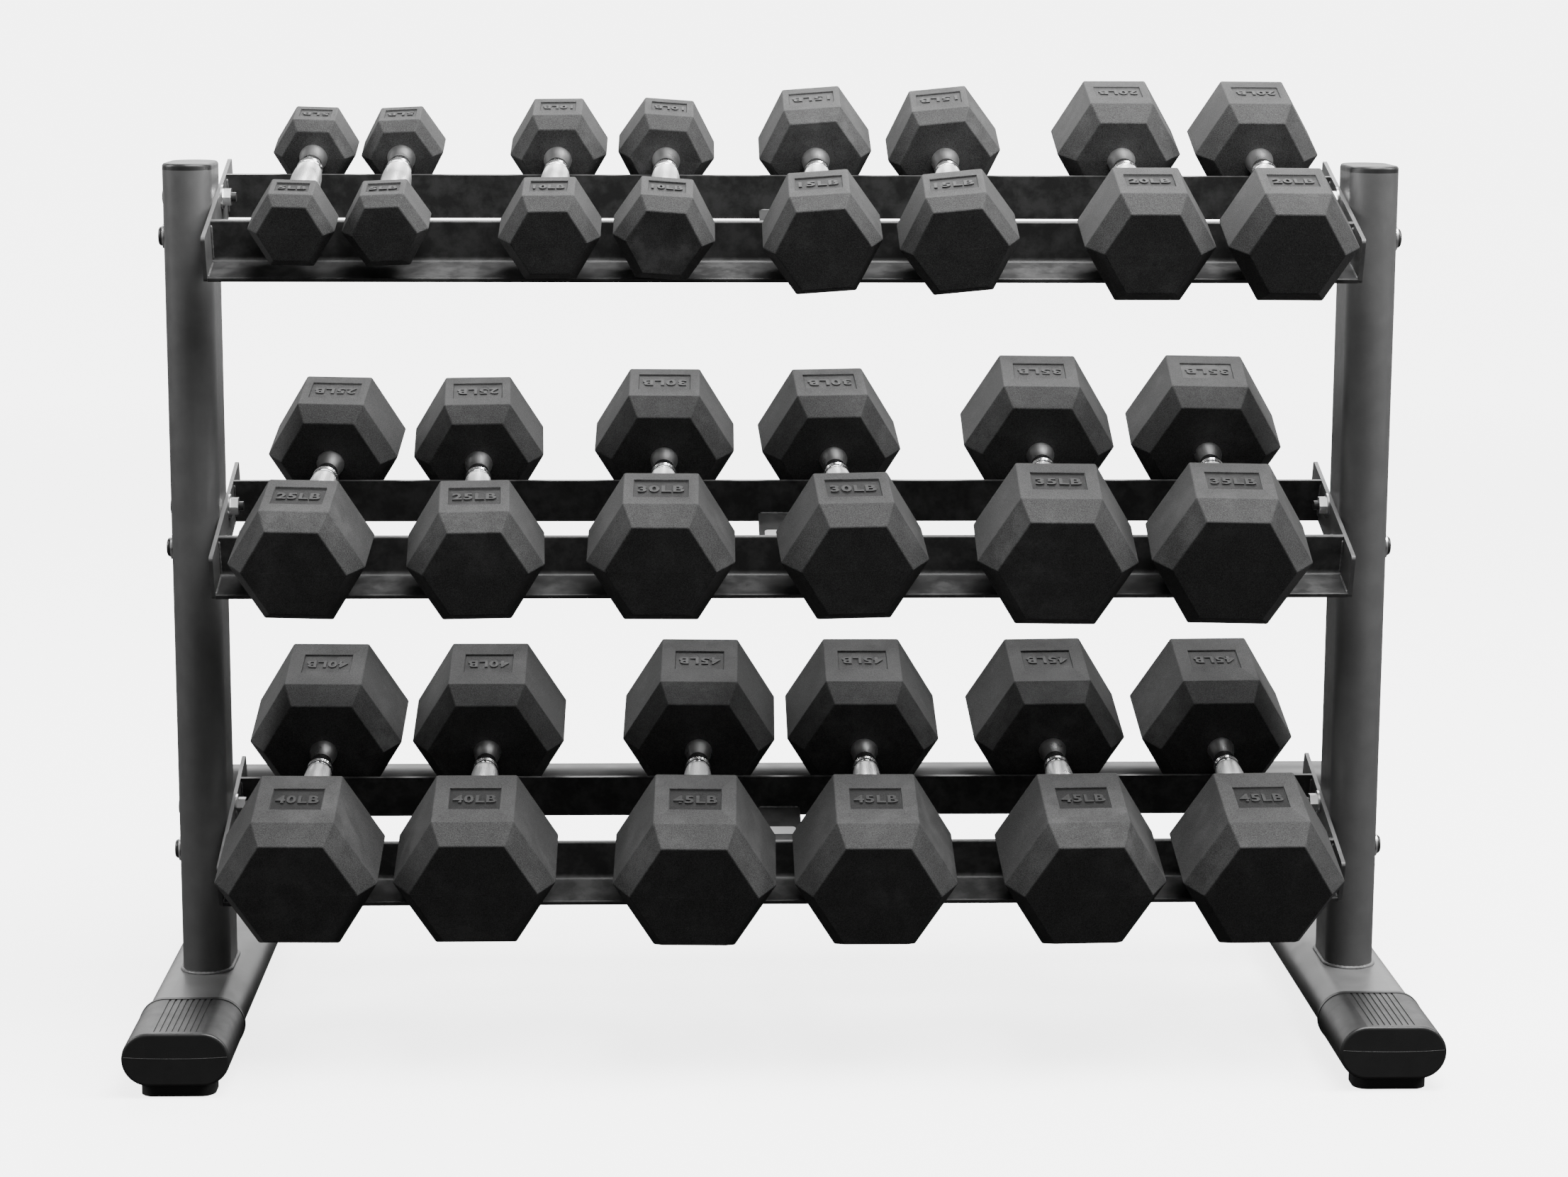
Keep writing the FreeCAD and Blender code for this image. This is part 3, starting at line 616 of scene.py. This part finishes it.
def makeFootBead():  # follows the upright's flat-oval outline where it meets the foot
    clearSelection()
    bpy.ops.mesh.primitive_circle_add(vertices=96, radius=footBeadDetail["endRadius"])
    bead = bpy.context.active_object
    for side in (-1, 1):
        pick(bead, lambda vert: vert.co.y * side > 0.1 * mm, "VERT")
        bpy.ops.transform.translate(value=(0, side * footBeadDetail["straight"], 0))
    pick(bead, lambda edge: (bead.data.vertices[edge.vertices[0]].co
                             - bead.data.vertices[edge.vertices[1]].co).length > 5 * mm, "EDGE")
    bpy.ops.mesh.subdivide(number_cuts=footBeadDetail["cuts"])
    bpy.ops.object.mode_set(mode="OBJECT")
    bpy.ops.object.convert(target="CURVE")
    bead.data.bevel_depth = beadDetail["footRadius"]
    bead.data.bevel_resolution = 2
    for index, point in enumerate(bead.data.splines[0].points):
        unevenness = 0.7 + 0.3 * math.sin(index * 0.37)
        point.radius = 1 + beadDetail["ripple"] * math.sin(index * 2.1) * unevenness
    bpy.ops.object.convert(target="MESH")
    bpy.ops.object.shade_smooth()
    return bpy.context.active_object


def makeStraightBead():  # runs along X from the origin
    clearSelection()
    step = beadDetail["length"] / beadDetail["rings"]
    taper = beadDetail["taper"]
    bpy.ops.mesh.primitive_circle_add(vertices=10, radius=beadDetail["railRadius"] * taper,
                                      fill_type="NGON", rotation=(0, math.pi / 2, 0))
    bead = bpy.context.active_object
    settle()
    bpy.ops.object.mode_set(mode="EDIT")
    bpy.ops.mesh.select_mode(type="FACE")
    bpy.ops.mesh.select_all(action="SELECT")
    now = taper
    last = beadDetail["rings"] - 1
    for index in range(beadDetail["rings"]):
        want = 1 + beadDetail["ripple"] * math.sin(index * 1.9) if index < last else taper
        bpy.ops.mesh.extrude_region_move(TRANSFORM_OT_translate={"value": (step, 0, 0)})
        bpy.ops.transform.resize(value=(1, want / now, want / now), center_override=(0, 0, 0))
        now = want
    bpy.ops.object.mode_set(mode="OBJECT")
    tidyShell()
    bpy.ops.object.shade_smooth()
    return bead


def shelfPlace(tier):
    return Matrix.Translation((0, shelfDetail["frontY"], shelfDetail["heights"][tier])) @ \
        Matrix.Rotation(shelfTilt, 4, "X")


footBead = makeFootBead()
railBead = makeStraightBead()
beads = []
for side in (-1, 1):
    spot = Matrix.Translation((side * uprightX, uprightY, footTop))
    beads.append(copyPiece(footBead, "bead", spot))
upTurn = Matrix.Rotation(-math.pi / 2, 4, "Y")  # along X becomes along Z
slopeTurn = Matrix.Rotation(math.pi / 2, 4, "Z")  # along X becomes along Y
legLength = Matrix.Diagonal((beadDetail["legShare"], 1, 1, 1))
strapLength = Matrix.Diagonal((beadDetail["strapShare"], 1, 1, 1))
for tier in shelfDetail["heights"]:
    shelf = shelfPlace(tier)
    for side in (-1, 1):
        x = side * (shelfDetail["plateX"] - beadDetail["sink"])
        for along in shelfDetail["legFaces"]:
            spot = shelf @ Matrix.Translation((x, along, shelfDetail["legFoot"])) @ upTurn
            beads.append(copyPiece(railBead, "bead", spot @ legLength))
        for along in shelfDetail["flangeStarts"]:
            spot = shelf @ Matrix.Translation((x, along, shelfDetail["flangeTop"])) @ slopeTurn
            beads.append(copyPiece(railBead, "bead", spot @ legLength))
    for along in shelfDetail["strapEnds"]:
        spot = Matrix.Translation((shelfDetail["strapStart"], along, shelfDetail["strapTop"]))
        beads.append(copyPiece(railBead, "bead", shelf @ spot @ strapLength))
weldBeads = joinPieces(beads, "weld_beads")
coat(weldBeads, "weldMetal")
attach(weldBeads, "rack")
for pattern in (footBead, railBead):
    bpy.data.objects.remove(pattern)
print("weld beads laid")


# parting line across the face of each foot cap

partingDetail = {"radius": 0.3 * mm, "half": 51.0 * mm, "sag": 1.6 * mm, "level": 43.0 * mm,
                 "faceY": 334.8 * mm, "cuts": 15}


def makePartingLine():
    clearSelection()
    bpy.ops.mesh.primitive_cylinder_add(
        vertices=8, radius=partingDetail["radius"], depth=2 * partingDetail["half"],
        rotation=(0, math.pi / 2, 0))
    line = bpy.context.active_object
    settle()
    pick(line, lambda edge: abs(line.data.vertices[edge.vertices[0]].co.x
                                - line.data.vertices[edge.vertices[1]].co.x) > 0.01, "EDGE")
    bpy.ops.mesh.subdivide(number_cuts=partingDetail["cuts"])
    bpy.ops.object.mode_set(mode="OBJECT")
    rings = partingDetail["cuts"] + 1
    for index in range(rings):  # a shallow curve, lowest in the middle
        out = partingDetail["half"] * (1 - 2 * index / rings)
        drop = -partingDetail["sag"] * (1 - (out / partingDetail["half"]) ** 2)
        pick(line, lambda vert: abs(vert.co.x - out) < 0.5 * mm, "VERT")
        bpy.ops.transform.translate(value=(0, 0, drop))
    bpy.ops.object.mode_set(mode="OBJECT")
    bpy.ops.object.shade_smooth_by_angle(angle=math.radians(50))
    return line


partingLine = makePartingLine()
lines = []
for side in (-1, 1):
    for end in (-1, 1):
        spot = Matrix.Translation(
            (side * uprightX, end * partingDetail["faceY"], partingDetail["level"]))
        lines.append(copyPiece(partingLine, "line", spot))
partingLines = joinPieces(lines, "cap_parting_lines")
# the lines take the foot paint, which holds a painted sheen
coat(partingLines, "footPaintAndSheen")
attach(partingLines, "rack")
bpy.data.objects.remove(partingLine)
print("parting lines laid")


# floor, light and camera

studio = {"floorHalf": 15.0, "floorTone": 0.8, "floorBounce": 0.05, "floorGlow": 3.6,
          "glowFade": (1.0, 6.0), "backdropTone": 5.6, "fillTone": 0.05, "sheenTone": 0.4,
          "sheenBehind": 2.4, "behind": (-0.97, -0.6), "aim": (0, 0, 0.6)}
softboxes = {  # place, width, height, power
    "overheadBox": ((0.7, -0.85, 3.2), 2.6, 1.5, 275),
    "rightBox": ((2.8, -0.6, 2.3), 1.2, 1.2, 85),
    "leftBox": ((-3.0, -0.2, 2.0), 0.8, 1.6, 70),
    "rearBox": ((0.0, 2.2, 3.0), 3.4, 2.0, 150),
}


def byRay(tree, lit, seen, target):  # one look for the lens, another for the light that bounces
    path = tree.nodes.new("ShaderNodeLightPath")
    mix = tree.nodes.new("ShaderNodeMixShader")
    tree.links.new(path.outputs["Is Camera Ray"], mix.inputs[0])
    tree.links.new(lit, mix.inputs[1])
    tree.links.new(seen, mix.inputs[2])
    tree.links.new(mix.outputs[0], target)


clearSelection()
bpy.ops.mesh.primitive_plane_add(size=2 * studio["floorHalf"], location=(0, 0, 0))
floor = bpy.context.active_object
floor.name = "floor"
floorPaint = bpy.data.materials.new("floorPaint")
floorPaint.use_nodes = True
floorTree = floorPaint.node_tree
floorTree.nodes.clear()
bounce = floorTree.nodes.new("ShaderNodeBsdfDiffuse")
bounce.inputs["Color"].default_value = (studio["floorBounce"],) * 3 + (1,)
shown = floorTree.nodes.new("ShaderNodeBsdfDiffuse")
shown.inputs["Color"].default_value = (studio["floorTone"],) * 3 + (1,)
glow = floorTree.nodes.new("ShaderNodeEmission")
floorPlace = floorTree.nodes.new("ShaderNodeTexCoord")
away = floorTree.nodes.new("ShaderNodeVectorMath")
away.operation = "LENGTH"
floorTree.links.new(floorPlace.outputs["Object"], away.inputs[0])
fading = span(floorTree, away.outputs["Value"], *studio["glowFade"],
              studio["floorGlow"], studio["backdropTone"])
floorTree.links.new(fading, glow.inputs["Strength"])
pale = floorTree.nodes.new("ShaderNodeAddShader")
floorTree.links.new(shown.outputs[0], pale.inputs[0])
floorTree.links.new(glow.outputs[0], pale.inputs[1])
floorOut = floorTree.nodes.new("ShaderNodeOutputMaterial")
byRay(floorTree, bounce.outputs[0], pale.outputs[0], floorOut.inputs["Surface"])
floor.data.materials.append(floorPaint)


def addSoftbox(name, place, wide, high, power):
    clearSelection()
    bpy.ops.object.light_add(type="AREA", location=place)
    light = bpy.context.active_object
    light.name = name
    light.data.shape = "RECTANGLE"
    light.data.size = wide
    light.data.size_y = high
    light.data.energy = power
    direction = Vector(studio["aim"]) - Vector(place)
    light.rotation_euler = direction.to_track_quat("-Z", "Y").to_euler()
    return light


for boxName, boxValues in softboxes.items():
    addSoftbox(boxName, *boxValues)

world = bpy.data.worlds.new("studioWorld")
bpy.context.scene.world = world
world.use_nodes = True
worldTree = world.node_tree
worldTree.nodes.clear()
fill = worldTree.nodes.new("ShaderNodeBackground")
fill.inputs["Strength"].default_value = studio["fillTone"]
backdrop = worldTree.nodes.new("ShaderNodeBackground")
for tone in (fill, backdrop):
    tone.inputs["Color"].default_value = (1, 1, 1, 1)
backdrop.inputs["Strength"].default_value = studio["backdropTone"]
sheen = worldTree.nodes.new("ShaderNodeBackground")
sheen.inputs["Color"].default_value = (1, 1, 1, 1)
facing = worldTree.nodes.new("ShaderNodeNewGeometry")
split = worldTree.nodes.new("ShaderNodeSeparateXYZ")
worldTree.links.new(facing.outputs["Incoming"], split.inputs[0])
sheenFade = span(worldTree, split.outputs["Y"], *studio["behind"],
                 studio["sheenBehind"], studio["sheenTone"])
worldTree.links.new(sheenFade, sheen.inputs["Strength"])
polish = worldTree.nodes.new("ShaderNodeMixShader")
kinds = worldTree.nodes.new("ShaderNodeLightPath")
worldTree.links.new(kinds.outputs["Is Glossy Ray"], polish.inputs[0])
worldTree.links.new(fill.outputs[0], polish.inputs[1])
worldTree.links.new(sheen.outputs[0], polish.inputs[2])
worldOut = worldTree.nodes.new("ShaderNodeOutputWorld")
byRay(worldTree, polish.outputs[0], backdrop.outputs[0], worldOut.inputs["Surface"])

lens = {"place": (-0.1085, -3.5766, 1.0734), "focal": 77.76, "sensor": 36.0,
        "pitch": 0.1710, "yaw": -0.0317, "roll": 0.0039}
cosYaw, sinYaw = math.cos(lens["yaw"]), math.sin(lens["yaw"])
cosPitch, sinPitch = math.cos(lens["pitch"]), math.sin(lens["pitch"])
cosRoll, sinRoll = math.cos(lens["roll"]), math.sin(lens["roll"])
yawTurn = Matrix(((cosYaw, sinYaw, 0), (-sinYaw, cosYaw, 0), (0, 0, 1)))
pitchTurn = Matrix(((1, 0, 0), (0, cosPitch, -sinPitch), (0, sinPitch, cosPitch)))
rollTurn = Matrix(((cosRoll, 0, sinRoll), (0, 1, 0), (-sinRoll, 0, cosRoll)))
looking = rollTurn @ pitchTurn @ yawTurn
rightward, forward, upward = looking[0], looking[1], looking[2]
clearSelection()
bpy.ops.object.camera_add(location=lens["place"])
camera = bpy.context.active_object
camera.data.lens = lens["focal"]
camera.data.sensor_width = lens["sensor"]
cameraTurn = Matrix((rightward, upward, -forward)).transposed()
camera.rotation_euler = cameraTurn.to_euler()
bpy.context.scene.camera = camera
print("studio ready")
